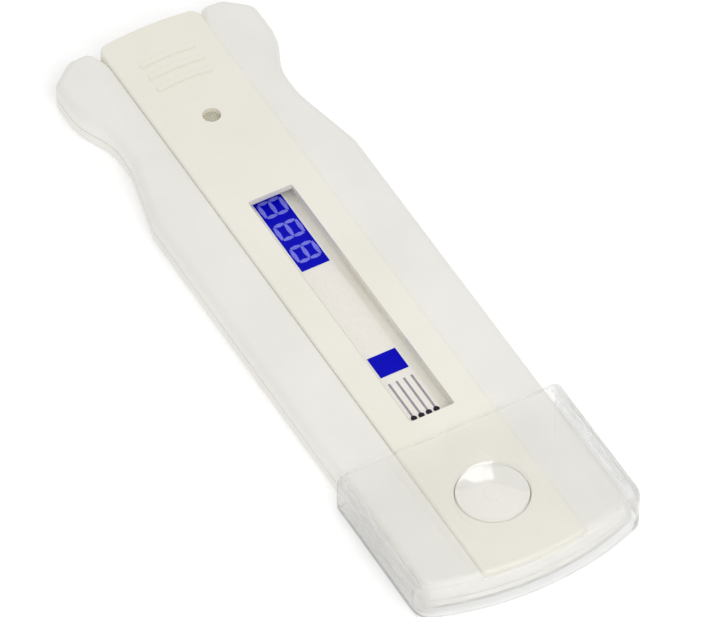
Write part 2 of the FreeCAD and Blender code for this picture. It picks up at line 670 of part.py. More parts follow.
def negative_contact():
    y = CELL_NEAR_Y - 3
    leaf = box(-2.2, 2.2, BOARD_FAR - 0.5, y + 2, LEAF_Z, LEAF_Z + LEAF)
    return leaf.fuse(leaf_tail(-2.2, 2.2)).fuse(disc(0, y, 1.1, CELL_TOP, LEAF_Z + LEAF / 2)).removeSplitter()


def positive_contact():
    x0 = BEEPER_RADIUS + 0.5
    x1 = x0 + 1.8
    y = CELL_FAR_Y
    leaf = box(x0, x1, BOARD_FAR - 0.5, y + 2, LEAF_Z, LEAF_Z + LEAF)
    arm = box(-2, x1, y - 2, y + 2, LEAF_Z, LEAF_Z + LEAF)
    pip = disc(0, y, 1.1, CELL_TOP, LEAF_Z + LEAF / 2)
    return leaf.fuse(leaf_tail(x0, x1)).fuse(arm).fuse(pip).removeSplitter()


def bridge_contact():
    """A strip let into the door's inner face that joins the two cells."""
    return slab(3.0, CELL_NEAR_Y - 4, CELL_FAR_Y + 4, FLOOR - LEAF, FLOOR)


# ---- sound port and screws -----------------------------------------------
def sound_screen():
    return disc(0, PORT_Y, SCREEN_RADIUS, DECK_TOP - SCREEN_THICK, DECK_TOP)


def beeper_seal():
    z1 = DECK_UNDER
    ring = disc(0, PORT_Y, BEEPER_RADIUS, z1 - BEEPER_SEAL, z1)
    return ring.cut(disc(0, PORT_Y, BEEPER_RADIUS - 1.6, 0, SPINE_TOP))


def beeper_disc():
    z1 = DECK_UNDER - BEEPER_SEAL
    return disc(0, PORT_Y, BEEPER_RADIUS, z1 - BEEPER_THICK, z1)


def case_screws():
    screws = []
    for x, y in each_screw():
        head = disc(x, y, SCREW_HEAD_RADIUS, SCREW_SUNK, SCREW_SUNK + SCREW_HEAD)
        head = head.cut(box(x - 1.2, x + 1.2, y - 0.2, y + 0.2, 0, SCREW_SUNK + 0.4))
        head = head.cut(box(x - 0.2, x + 0.2, y - 1.2, y + 1.2, 0, SCREW_SUNK + 0.4))
        shank = disc(x, y, SCREW_RADIUS, SCREW_SUNK + SCREW_HEAD, SCREW_SUNK + SCREW_LENGTH)
        screws.append(head.fuse(shank).removeSplitter())
    return Part.Compound(screws)


# ---- the whole object ----------------------------------------------------
NODES = {
    "lower_shell": lower_shell(),
    "upper_shell": upper_shell(),
    "spine_cover": spine_cover(),
    "end_cap": end_cap(),
    "battery_door": battery_door(),
    "scan_button": scan_button(),
    "switch_body": switch_body(),
    "switch_plunger": switch_plunger(),
    "switch_board": switch_board(),
    "switch_flex": switch_flex(),
    "main_board": main_board(),
    "controller_chip": chip(CHIP_X, CHIP_Y - 4, 3.5, 3.5, 1.0),
    "reader_chip": chip(-CHIP_X, CHIP_Y - 16, 2.5, 2.5, 0.9),
    "crystal": chip(-CHIP_X, CHIP_Y - 5, 1.6, 2.5, 0.9),
    "regulator": chip(CHIP_X, CHIP_Y + 12, 1.5, 0.8, 1.1),
    "capacitors": capacitors(),
    "display_tray": display_tray(),
    "display_connector": display_connector(),
    "display_strip": display_strip(),
    "readout_panel": readout_panel(),
    "readout_digits": readout_digits(),
    "status_square": status_square(),
    "strip_traces": strip_traces(),
    "strip_pads": strip_pads(),
    "aerial_bobbin": aerial_bobbin(),
    "aerial_coil": aerial_coil(),
    "aerial_leads": aerial_leads(),
    "coin_cell_near": coin_cell(CELL_NEAR_Y),
    "coin_cell_far": coin_cell(CELL_FAR_Y),
    "negative_contact": negative_contact(),
    "positive_contact": positive_contact(),
    "bridge_contact": bridge_contact(),
    "sound_screen": sound_screen(),
    "beeper_seal": beeper_seal(),
    "beeper_disc": beeper_disc(),
    "case_screws": case_screws(),
}

os.makedirs("parts", exist_ok=True)
for name, shape in NODES.items():
    shape.exportStep(f"parts/{name}.step")
    print(name, "valid" if shape.isValid() else "INVALID", len(shape.Solids), round(shape.Volume, 2))
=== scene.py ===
import bmesh
import bpy
import math
from mathutils import Matrix, Vector


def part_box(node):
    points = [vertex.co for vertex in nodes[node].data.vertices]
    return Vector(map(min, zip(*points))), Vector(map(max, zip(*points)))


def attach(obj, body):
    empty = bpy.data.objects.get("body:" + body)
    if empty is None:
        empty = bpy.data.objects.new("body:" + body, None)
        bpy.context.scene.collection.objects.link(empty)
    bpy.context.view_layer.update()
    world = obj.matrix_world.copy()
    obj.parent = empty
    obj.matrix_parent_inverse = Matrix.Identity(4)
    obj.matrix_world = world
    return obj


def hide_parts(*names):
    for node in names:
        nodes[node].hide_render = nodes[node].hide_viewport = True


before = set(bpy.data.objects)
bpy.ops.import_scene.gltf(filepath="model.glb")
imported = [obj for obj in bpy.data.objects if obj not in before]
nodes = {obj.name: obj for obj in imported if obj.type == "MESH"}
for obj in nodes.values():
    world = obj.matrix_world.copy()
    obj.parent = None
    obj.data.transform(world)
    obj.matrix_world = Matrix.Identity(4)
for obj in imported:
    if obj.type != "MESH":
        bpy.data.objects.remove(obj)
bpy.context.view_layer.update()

MM = 0.001                   # one millimetre in metres

# ---- case halves and battery door -----------------------------------------
# Two ABS mouldings in a neutral white, with the battery door let into the
# lower one. The tool was spark-eroded, so the skin is satin and very finely
# pebbled, and thumbs have polished it here and there.


def srgb(code):
    """A hex colour as linear RGBA."""
    shares = [int(code[i:i + 2], 16) / 255 for i in (1, 3, 5)]
    return [s / 12.92 if s <= 0.04045 else ((s + 0.055) / 1.055) ** 2.4 for s in shares] + [1.0]


def add(tree, kind, links=None, stops=(), **settings):
    """Adds a shader node: links gives its inputs a number, a colour or a socket,
    and stops gives a colour ramp its places and hex colours."""
    node = tree.nodes.new("ShaderNode" + kind)
    for name, value in settings.items():
        setattr(node, name, value)
    for element, (place, code) in zip(node.color_ramp.elements if stops else (), stops):
        element.position = place
        element.color = srgb(code)
    for name, value in (links or {}).items():
        if isinstance(value, bpy.types.NodeSocket):
            tree.links.new(value, node.inputs[name])
        else:
            node.inputs[name].default_value = value
    return node


def finish(name, **surface):
    """A new material with one Principled surface, its node tree and its shader."""
    material = bpy.data.materials.new(name)
    material.use_nodes = True
    tree = material.node_tree
    tree.nodes.clear()
    shader = add(tree, "BsdfPrincipled", {key.replace("_", " "): value for key, value in surface.items()})
    add(tree, "OutputMaterial", {"Surface": shader.outputs[0]})
    return material, tree, shader


def lay_on(tree, shader, colour, roughness, height, depth, strength=0.5):
    """Joins a pattern's colour, roughness and height to the shader."""
    tree.links.new(colour, shader.inputs["Base Color"])
    tree.links.new(roughness, shader.inputs["Roughness"])
    bump = add(tree, "Bump", {"Height": height, "Distance": depth, "Strength": strength})
    tree.links.new(bump.outputs[0], shader.inputs["Normal"])


def moulded(name, light, shade, rough, pebble=0.35, flow=22, **surface):
    """Moulded plastic: cloudy flow marks, polish from handling, hairline scratches
    and a pebble skin. Sizes are in millimetres."""
    material, tree, shader = finish(name, IOR=1.54, **surface)
    place = add(tree, "TexCoord").outputs["Object"]
    cloud = add(tree, "TexNoise", {"Vector": place, "Scale": 1 / (flow * MM), "Detail": 3.0,
                                   "Roughness": 0.55})
    tint = add(tree, "ValToRGB", {"Fac": cloud.outputs["Fac"]}, stops=((0.35, shade), (0.65, light)))
    rubbed = add(tree, "TexNoise", {"Vector": place, "Scale": 1 / (6 * MM), "Detail": 5.0, "Roughness": 0.65})
    gloss = add(tree, "MapRange", {"Value": rubbed.outputs["Fac"], "From Min": 0.3, "From Max": 0.7,
                                   "To Min": rough - 0.07, "To Max": rough + 0.08})
    drawn = add(tree, "Mapping", {"Vector": place, "Rotation": (0.0, 0.0, 0.9), "Scale": (1.0, 0.04, 1.0)})
    hairs = add(tree, "TexNoise", {"Vector": drawn.outputs[0], "Scale": 1 / (0.3 * MM), "Detail": 2.0})
    scratch = add(tree, "MapRange", {"Value": hairs.outputs["Fac"], "From Min": 0.7, "From Max": 0.78,
                                     "To Max": 0.06})
    shine = add(tree, "Math", {0: gloss.outputs[0], 1: scratch.outputs[0]}, operation="SUBTRACT")
    skin = add(tree, "TexNoise", {"Vector": place, "Scale": 1 / (pebble * MM), "Detail": 2.0,
                                  "Roughness": 0.5})
    lay_on(tree, shader, tint.outputs["Color"], shine.outputs[0], skin.outputs["Fac"], 0.02 * MM, 0.35)
    return material


def dress(material, *names):
    """Gives CAD nodes their material."""
    for name in names:
        mesh = nodes[name].data
        mesh.materials.clear()
        mesh.materials.append(material)


WHITE_SKIN = {"Subsurface_Weight": 0.06, "Subsurface_Radius": (0.9, 0.8, 0.7), "Subsurface_Scale": 0.6 * MM}
white_abs = moulded("ABS moulded neutral white", "#F3F1EB", "#EEECE6", 0.46, **WHITE_SKIN)
dress(white_abs, "lower_shell", "upper_shell", "battery_door")

# ---- circuit boards --------------------------------------------------------
# Two FR4 boards under green solder mask, a long one in the body and a small
# one under the key. The tracks stand a little proud under the mask, which
# makes them paler.

BOARD_GREEN = "#155C33"
TRACK_GREEN = "#2B8350"
TRACK_PITCH = 1.9
TRACK_WIDTH = 0.06           # half a track, as a share of the pitch

fr4, tree, shader = finish("FR4 board with green solder mask", IOR=1.5, Coat_Weight=0.4, Coat_Roughness=0.15)
place = add(tree, "TexCoord").outputs["Object"]
grids = [add(tree, "TexBrick", {"Vector": place, "Scale": 1 / (TRACK_PITCH * MM * step),
                                "Mortar Size": TRACK_WIDTH, "Mortar Smooth": 0.1, "Brick Width": 2.2,
                                "Row Height": 0.45}, offset=offset)
         for step, offset in ((1.0, 0.5), (2.7, 0.3))]
tracks = add(tree, "Math", {0: grids[0].outputs["Fac"], 1: grids[1].outputs["Fac"]}, operation="MAXIMUM")
mask = add(tree, "ValToRGB", {"Fac": tracks.outputs[0]}, stops=((0.2, BOARD_GREEN), (0.8, TRACK_GREEN)))
weave = add(tree, "TexNoise", {"Vector": place, "Scale": 1 / (0.5 * MM), "Detail": 3.0})
sheen = add(tree, "MapRange", {"Value": weave.outputs["Fac"], "To Min": 0.25, "To Max": 0.5})
raised = add(tree, "Math", {0: weave.outputs["Fac"], 1: tracks.outputs[0]}, operation="ADD")
lay_on(tree, shader, mask.outputs["Color"], sheen.outputs[0], raised.outputs[0], 0.03 * MM)
dress(fr4, "main_board", "switch_board")

# ---- chips and crystal -----------------------------------------------------
# Transfer-moulded epoxy packages on tinned legs, soldered to the main board.
# They are nearly black and matt, and the crystal is a drawn steel can.

CHIP_ROUND = 0.12
LEG_WIDTH = 0.28
LEG_PITCH = 0.65
LEG_REACH = 0.7
LEG_ROOT = 0.3               # shares of the reach: level, sloping down, and flat
LEG_SLOPE = 0.25
LEG_FOOT = 0.45
LEG_THICK = 0.14
ROW_MARGIN = 0.4             # what a chip's side leaves free beside its row of legs
SHARP = math.radians(32)     # edges sharper than this stay crisp
TINY = 0.001 * MM            # points nearer than this are one


def piece(name, shape, materials, body, slot, *stands_for):
    """Makes a bmesh an object with smooth faces and crisp corners. It rides on a
    body and stands for CAD nodes. Its slot is not used."""
    mesh = bpy.data.meshes.new(name)
    shape.to_mesh(mesh)
    shape.free()
    for material in materials:
        mesh.materials.append(material)
    mesh.shade_smooth()
    mesh.set_sharp_from_angle(angle=SHARP)
    made = bpy.data.objects.new(name, mesh)
    bpy.context.scene.collection.objects.link(made)
    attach(made, body)
    if stands_for:
        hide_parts(*stands_for)
    return made


def block(shape, low, high, rounding=0.0, segments=2):
    """A box between two corners, its edges rounded; returns its faces."""
    before = set(shape.faces)
    verts = bmesh.ops.create_cube(shape, size=1)["verts"]
    bmesh.ops.scale(shape, vec=high - low, verts=verts)
    bmesh.ops.translate(shape, vec=(low + high) / 2, verts=verts)
    if rounding:
        edges = list({e for v in verts for e in v.link_edges})
        bmesh.ops.bevel(shape, geom=edges, offset=rounding, segments=segments, profile=0.5,
                        affect="EDGES", material=-1)
    return [f for f in shape.faces if f not in before]


def leg(shape, foot_z, shoulder_z, middle, turn):
    """A gull-wing leg, made pointing along +X from its root and then turned."""
    before = set(shape.verts)
    half = LEG_WIDTH * MM / 2
    root_end = Vector((LEG_REACH * MM * LEG_ROOT, half, shoulder_z + LEG_THICK * MM))
    root = block(shape, Vector((0, -half, shoulder_z)), root_end)
    tip = max(root, key=lambda f: f.calc_center_median().x)
    for along, down in ((LEG_SLOPE, foot_z - shoulder_z), (LEG_FOOT, 0.0)):
        out = bmesh.ops.extrude_face_region(shape, geom=[tip])["geom"]
        bmesh.ops.delete(shape, geom=[tip], context="FACES_ONLY")
        tip = next(g for g in out if isinstance(g, bmesh.types.BMFace))
        bmesh.ops.translate(shape, vec=(LEG_REACH * MM * along, 0, down), verts=list(tip.verts))
    new = [v for v in shape.verts if v not in before]
    bmesh.ops.rotate(shape, cent=(0, 0, 0), matrix=Matrix.Rotation(turn, 3, "Z"), verts=new)
    bmesh.ops.translate(shape, vec=(middle[0], middle[1], 0), verts=new)


def packaged(name, node, sides, material, legs_material):
    """A chip with legs along some of its sides, inside its node's box."""
    low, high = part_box(node)
    inset = LEG_REACH * MM
    inset_y = inset if "y" in sides else 0
    chip = bmesh.new()
    body_low = Vector((low.x + inset, low.y + inset_y, low.z + LEG_THICK * MM))
    body_high = Vector((high.x - inset, high.y - inset_y, high.z))
    block(chip, body_low, body_high, CHIP_ROUND * MM)
    shoulder = (low.z + high.z) / 2
    middle = (low + high) / 2
    bodied = set(chip.faces)
    for axis, turns in (("x", (0, math.pi)), ("y", (math.pi / 2, -math.pi / 2))):
        if axis not in sides:
            continue
        run = body_high.y - body_low.y if axis == "x" else body_high.x - body_low.x
        count = int((run - ROW_MARGIN * MM) / (LEG_PITCH * MM))
        for turn in turns:
            out = Vector((math.cos(turn), math.sin(turn)))
            reach = (body_high.x - body_low.x) / 2 if axis == "x" else (body_high.y - body_low.y) / 2
            for i in range(count):
                slide = (i - (count - 1) / 2) * LEG_PITCH * MM
                spot = Vector((middle.x, middle.y)) + out * reach + Vector((-out.y, out.x)) * slide
                leg(chip, low.z, shoulder, spot, turn)
    bmesh.ops.recalc_face_normals(chip, faces=chip.faces)
    for face in chip.faces:
        face.material_index = 0 if face in bodied else 1
    return piece(name, chip, (material, legs_material), "case", "chip_epoxy", node)


def metal(name, light, shade, rough, grain=0.4, stretch=(1.0, 1.0, 1.0)):
    """A metal whose drawn or plated surface has a fine grain, in millimetres."""
    material, tree, shader = finish(name, Metallic=1.0)
    place = add(tree, "TexCoord").outputs["Object"]
    drawn = add(tree, "Mapping", {"Vector": place, "Scale": stretch})
    marks = add(tree, "TexNoise", {"Vector": drawn.outputs[0], "Scale": 1 / (grain * MM), "Detail": 4.0})
    tint = add(tree, "ValToRGB", {"Fac": marks.outputs["Fac"]}, stops=((0.3, shade), (0.7, light)))
    dull = add(tree, "MapRange", {"Value": marks.outputs["Fac"], "To Min": rough - 0.1,
                                  "To Max": rough + 0.12})
    lay_on(tree, shader, tint.outputs["Color"], dull.outputs[0], marks.outputs["Fac"], 0.003 * MM)
    return material


chip_epoxy = moulded("Epoxy moulded near-black", "#222224", "#19191B", 0.55, pebble=0.12, flow=3)
tinned = metal("Copper alloy tinned", "#D0D0D2", "#B4B4B8", 0.3, 0.2)
packaged("controller", "controller_chip", "xy", chip_epoxy, tinned)
packaged("reader", "reader_chip", "x", chip_epoxy, tinned)
packaged("voltage_regulator", "regulator", "x", chip_epoxy, tinned)

CAN_FLANGE = 0.25
CAN_FOOT = 0.1               # the can's body starts this high inside its flange
CAN_ROUND = 0.405
FLANGE_ROUND = 0.1

low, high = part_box("crystal")
can = bmesh.new()
block(can, low, Vector((high.x, high.y, low.z + CAN_FLANGE * MM)), FLANGE_ROUND * MM)
rim = Vector((CAN_FLANGE * MM, CAN_FLANGE * MM, 0))
block(can, low + rim + Vector((0, 0, CAN_FOOT * MM)), high - rim, CAN_ROUND * MM, segments=4)
nickel = metal("Steel plated with bright nickel", "#DAD8D2", "#C2C0BA", 0.25)
piece("crystal_can", can, (nickel,), "case", "cell_steel", "crystal")

# ---- capacitors ------------------------------------------------------------
# Ten ceramic chip capacitors, each a tan fired block with a tinned cap over
# both ends.

CAPACITORS_EACH_SIDE = 5
CAPACITOR_PITCH = 9.0
CAPACITOR_WIDE = 1.2
CAPACITOR_LONG = 2.0
CERAMIC_ROUND = 0.05
TIN_SHARE = 0.24             # each tinned end's share of the length
TIN_SKIN = 0.04              # how far the tin stands out from the ceramic
TIN_ROUND = 0.1

low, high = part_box("capacitors")
row = bmesh.new()
size = Vector((CAPACITOR_WIDE * MM, CAPACITOR_LONG * MM, high.z - low.z))
skin = Vector((TIN_SKIN, TIN_SKIN, TIN_SKIN)) * MM
for x in (low.x, high.x - size.x):
    for i in range(CAPACITORS_EACH_SIDE):
        corner = Vector((x, low.y + i * CAPACITOR_PITCH * MM, low.z))
        block(row, corner + skin, corner + size - skin, CERAMIC_ROUND * MM)
        for y in (corner.y, corner.y + size.y * (1 - TIN_SHARE)):
            start = Vector((x, y, low.z))
            stop = start + Vector((size.x, size.y * TIN_SHARE, size.z))
            for face in block(row, start, stop, TIN_ROUND * MM):
                face.material_index = 1
ceramic = moulded("Barium titanate ceramic fired tan", "#B08C60", "#987850", 0.5, pebble=0.1, flow=2)
piece("chip_capacitors", row, (ceramic, tinned), "case", "ceramic", "capacitors")

# ---- switch and flat flex --------------------------------------------------
# A low tact switch: a pressed stainless shroud, a black nylon plunger and a
# polyimide flex that carries its two lines to the main board.

stainless = metal("Stainless steel pressed", "#C9C8C5", "#AEADAA", 0.32, 0.3, (1.0, 0.1, 1.0))
dress(stainless, "switch_body")
black_nylon = moulded("Nylon moulded black", "#262629", "#1C1C1F", 0.5, pebble=0.2, flow=5)
dress(black_nylon, "switch_plunger")

FLEX_PITCH = 1.0

flex_film, tree, shader = finish("Polyimide film over copper lines", IOR=1.7, Coat_Weight=0.5,
                                 Coat_Roughness=0.1)
place = add(tree, "TexCoord").outputs["Object"]
lines = add(tree, "TexWave", {"Vector": place, "Scale": 1 / (FLEX_PITCH * MM * math.tau), "Distortion": 0.0},
            bands_direction="X")
amber = add(tree, "ValToRGB", {"Fac": lines.outputs["Fac"]}, stops=((0.4, "#A8621C"), (0.6, "#C98A3C")))
film = add(tree, "TexNoise", {"Vector": place, "Scale": 1 / (0.8 * MM), "Detail": 2.0})
sheen = add(tree, "MapRange", {"Value": film.outputs["Fac"], "To Min": 0.2, "To Max": 0.4})
lay_on(tree, shader, amber.outputs["Color"], sheen.outputs[0], lines.outputs["Fac"], 0.02 * MM)
dress(flex_film, "switch_flex")

# ---- thumb key -------------------------------------------------------------
# One round ABS key with a hollow back, a boss over the switch and a flange
# that the deck holds down. A small raised nub marks its middle for the thumb.

KEY_EDGE = 3.2
KEY_CROWN = 0.2
KEY_ROUND = 0.35
KEY_WALL = 1.1
KEY_LEDGE = 0.9              # how far the flange stands out
KEY_FLANGE = 0.7
KEY_CHAMFER = 0.1
KEY_RINGS = (0.8, 0.6, 0.42)  # shares of the radius at which the crown is drawn
BOSS_RADIUS = 1.6
BOSS_LEVEL = 0.1
NUB_RADIUS = 1.9
NUB_FLAT = 1.0
NUB_RISE = 0.22
NUB_ROUND = NUB_RISE * 0.8
NUB_FOOT = 0.05              # how deep the nub starts inside the crown
NUB_APRON = 0.04             # the share by which the crown's last ring clears the nub
RING_GAP = 0.02              # keeps two rings of the outline apart


def turned(shape, outline, centre, steps=96):
    """Spins (radius, height) points, in millimetres from centre, once about an
    upright axis and returns the new faces."""
    before = set(shape.faces)
    points = [shape.verts.new((radius * MM, 0, height * MM)) for radius, height in outline]
    edges = [shape.edges.new(pair) for pair in zip(points, points[1:])]
    old = {v for f in before for v in f.verts}
    bmesh.ops.spin(shape, geom=points + edges, cent=(0, 0, 0), axis=(0, 0, 1), angle=math.tau,
                   steps=steps, use_merge=True)
    new = [v for v in shape.verts if v not in old]
    bmesh.ops.remove_doubles(shape, verts=new, dist=TINY)
    new = [v for v in shape.verts if v not in old]
    bmesh.ops.translate(shape, vec=centre, verts=new)
    return [f for f in shape.faces if f not in before]


def rounded(radius, height, size, steps=5, start=0.0):
    """Outline points round a shoulder from the side (start 0) to the top."""
    turns = [start + (math.pi / 2 - start) * i / steps for i in range(steps + 1)]
    return [(radius - size + size * math.cos(t), height - size + size * math.sin(t)) for t in turns]


low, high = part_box("scan_button")
flange = high.x / MM
radius = flange - KEY_LEDGE
peak_z = (high.z - low.z) / MM
under = KEY_EDGE - KEY_WALL
key_centre = Vector((0, (low.y + high.y) / 2, low.z))
shares = KEY_RINGS + (NUB_RADIUS / radius + NUB_APRON,)
crown = [(r * radius, KEY_EDGE + KEY_CROWN * (1 - r * r)) for r in shares]
nub_z = crown[-1][1]
nub = [(NUB_RADIUS, nub_z - NUB_FOOT)]
nub += rounded(NUB_RADIUS - RING_GAP, nub_z + NUB_ROUND, NUB_ROUND, 4)
outline = [(0, BOSS_LEVEL), (BOSS_RADIUS, BOSS_LEVEL), (BOSS_RADIUS, under), (radius - KEY_WALL, under),
           (radius - KEY_WALL, 0), (flange - KEY_CHAMFER, 0), (flange, KEY_CHAMFER),
           (flange, KEY_FLANGE - KEY_CHAMFER), (flange - KEY_CHAMFER, KEY_FLANGE), (radius, KEY_FLANGE)]
outline += rounded(radius, KEY_EDGE + RING_GAP, KEY_ROUND) + crown + nub
outline += [(NUB_FLAT, peak_z - RING_GAP), (0, peak_z)]
key = bmesh.new()
turned(key, outline, key_centre, 128)
bmesh.ops.recalc_face_normals(key, faces=key.faces)
key_abs = moulded("ABS moulded key white", "#F6F4ED", "#F2EFE7", 0.36, **WHITE_SKIN)
piece("thumb_key", key, (key_abs,), "scan_button", "button_abs", "scan_button")

# ---- aerial ----------------------------------------------------------------
# A flat rounded bobbin of natural nylon round the key, wound with enamelled
# copper wire in five layers of five turns, and two tinned lead-outs.

WIRE = 0.25
TURNS_HIGH = 5
TURNS_DEEP = 5
CORNER_POINTS = 8
BOBBIN_CORNER = 5.0
WIRE_FILL = 0.96             # the wire's share of its pitch, so that turns stay apart
CLIMB = 0.3                  # a turn's rise, as a share of the pitch
LEAD_FILL = 0.8              # the lead-out's share of its channel's height
LEAD_LEVEL = 0.6
LEAD_BOW = 0.9
LEAD_STEPS = (0, 0.12, 0.3, 0.5, 0.7, 0.88, 1.0)

natural_nylon = moulded("Nylon moulded natural", "#DAD3BF", "#CBC3AC", 0.45, pebble=0.25, flow=8,
                        Subsurface_Weight=0.2, Subsurface_Radius=(1.0, 0.9, 0.7), Subsurface_Scale=0.8 * MM)
dress(natural_nylon, "aerial_bobbin")


def wires(name, paths, thickness, material, body, slot, *stands_for):
    """Round wires along lists of points, as one curve piece."""
    curve = bpy.data.curves.new(name, "CURVE")
    curve.dimensions = "3D"
    curve.bevel_depth = thickness / 2
    curve.bevel_resolution = 2
    curve.use_fill_caps = True
    for path in paths:
        spline = curve.splines.new("POLY")
        spline.points.add(len(path) - 1)
        for point, spot in zip(spline.points, path):
            point.co = (*spot, 1.0)
    curve.materials.append(material)
    made = bpy.data.objects.new(name, curve)
    bpy.context.scene.collection.objects.link(made)
    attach(made, body)
    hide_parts(*stands_for)
    return made


low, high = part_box("aerial_coil")
centre = (low + high) / 2
pitch = (high.z - low.z) / TURNS_HIGH
path = []
for layer in range(TURNS_DEEP):
    inset = (WIRE / 2 + layer * WIRE) * MM
    half = Vector((high.x - centre.x - inset, high.y - centre.y - inset))
    corner = BOBBIN_CORNER * MM - inset
    for turn in range(TURNS_HIGH):
        level = turn if layer % 2 == 0 else TURNS_HIGH - 1 - turn
        for side, (sx, sy) in enumerate(((1, 1), (-1, 1), (-1, -1), (1, -1))):
            for i in range(CORNER_POINTS + 1):
                angle = (side + i / CORNER_POINTS) * math.pi / 2
                share = (side + i / CORNER_POINTS) / 4
                height = level + 0.5 + CLIMB * (share if layer % 2 == 0 else -share)
                path.append((centre.x + sx * (half.x - corner) + corner * math.cos(angle),
                             centre.y + sy * (half.y - corner) + corner * math.sin(angle),
                             low.z + pitch * min(max(height, 0.5), TURNS_HIGH - 0.5)))
enamel = metal("Copper wire with clear enamel", "#C77A46", "#A85E32", 0.22, 0.5)
wires("aerial_winding", [path], WIRE * WIRE_FILL * MM, enamel, "case", "copper_wire", "aerial_coil")

low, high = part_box("aerial_leads")
lead = (high.z - low.z) * LEAD_FILL
leads = []
for side in (-1, 1):
    x = side * (high.x - lead)
    bow = side * LEAD_BOW * MM
    leads.append([(x - bow * math.sin(math.pi * share) ** 2, low.y + (high.y - low.y) * share,
                   low.z + lead * LEAD_LEVEL) for share in LEAD_STEPS])
wires("aerial_lead_outs", leads, lead, tinned, "case", "copper_wire", "aerial_leads")

# ---- coin cells ------------------------------------------------------------
# Two lithium cells: a nickel-plated steel can, crimped over a nylon gasket
# onto a slightly smaller lid, which is faintly brushed.

CRIMP = 0.5
CRIMP_LIP = 0.08             # the crimped edge's own thickness
CRIMP_REACH = 0.9            # from the end of the crimp's bend in to the lid
GROOVE = 0.4                 # how deep the gasket sits
GASKET = 0.35
GASKET_LAP = 0.02            # how far gasket, can and lid run into each other
GASKET_DOME = 0.04
LID_RISE = 0.4
LID_ROUND = 0.35
LID_SHOULDER = 0.05          # the lid's edge lies this much under its middle
LID_FLAT = 0.6               # the flat middle's share of the lid
LID_DOME = 0.01
FOOT_DISH = 0.06
FOOT_RING = (1.6, 1.3)       # where the dish slopes down, in from the edge
FOOT_ROUND = 0.3
FOOT_TURNS = (0.0, 0.5, 1.05, math.pi / 2)

cell_can = metal("Steel can plated with nickel", "#D6D4CE", "#BDBBB5", 0.24, 0.35, (1.0, 0.08, 1.0))
gasket_nylon = moulded("Nylon gasket dark", "#3A3A40", "#2B2B30", 0.45, pebble=0.1, flow=2)
for name, node in (("near_cell", "coin_cell_near"), ("far_cell", "coin_cell_far")):
    low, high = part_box(node)
    centre = Vector((0, (low.y + high.y) / 2, low.z))
    radius = (high.x - low.x) / 2 / MM
    height = (high.z - low.z) / MM
    step = height - LID_RISE
    sunk = step - GROOVE
    lid = radius - CRIMP - CRIMP_REACH
    mouth = lid + GASKET
    cell = bmesh.new()
    base = [(0, FOOT_DISH), (radius - FOOT_RING[0], FOOT_DISH), (radius - FOOT_RING[1], 0.0)]
    base += [(radius - FOOT_ROUND + FOOT_ROUND * math.sin(t), FOOT_ROUND - FOOT_ROUND * math.cos(t))
             for t in FOOT_TURNS]
    side = rounded(radius, step, CRIMP)
    turned(cell, base + side + [(mouth, step - CRIMP_LIP), (mouth, sunk), (0, sunk)], centre)
    sealing = turned(cell, [(mouth + GASKET_LAP, sunk), (mouth + GASKET_LAP, step), (lid, step + GASKET_DOME),
                            (lid, sunk), (mouth + GASKET_LAP, sunk)], centre)
    turned(cell, [(0, sunk), (lid + GASKET_LAP, sunk)]
           + rounded(lid + GASKET_LAP, height - LID_SHOULDER, LID_ROUND)
           + [(lid * LID_FLAT, height - LID_DOME), (0, height)], centre)
    bmesh.ops.recalc_face_normals(cell, faces=cell.faces)
    for face in sealing:
        face.material_index = 1
    piece(name, cell, (cell_can, gasket_nylon), "case", "cell_steel", node)

# ---- battery contacts ------------------------------------------------------
# Three strips stamped from spring brass and lightly tarnished: two spring
# leaves with a pip, soldered to the board, and a bridge let into the door.

spring_brass = metal("Spring brass stamped", "#D8B86E", "#BB9850", 0.3, 0.25, (0.1, 1.0, 1.0))
dress(spring_brass, "negative_contact", "positive_contact", "bridge_contact")

# ---- beeper and sound gauze ------------------------------------------------
# A piezo disc hangs from the deck on a foam ring, behind a round hole that is
# closed by a woven polyester gauze. The weave is drawn at twice its real pitch.

GAUZE_PITCH = 0.42
GAUZE_WIRE = 0.27
GAUZE_SWING = 0.25           # how far a thread weaves, as a share of its thickness
RING_WIDTH = 0.5
RING_STEPS = 48
FOAM_CELL = 0.35

foam, tree, shader = finish("Polyurethane foam grey", IOR=1.45, Sheen_Weight=0.3)
place = add(tree, "TexCoord").outputs["Object"]
cells = add(tree, "TexVoronoi", {"Vector": place, "Scale": 1 / (FOAM_CELL * MM)})
grey = add(tree, "ValToRGB", {"Fac": cells.outputs["Distance"]}, stops=((0.1, "#3C3C40"), (0.6, "#5A5A5E")))
matt = add(tree, "MapRange", {"Value": cells.outputs["Distance"], "To Min": 0.85, "To Max": 0.98})
lay_on(tree, shader, grey.outputs["Color"], matt.outputs[0], cells.outputs["Distance"], 0.08 * MM, 0.8)
dress(foam, "beeper_seal")
dress(spring_brass, "beeper_disc")

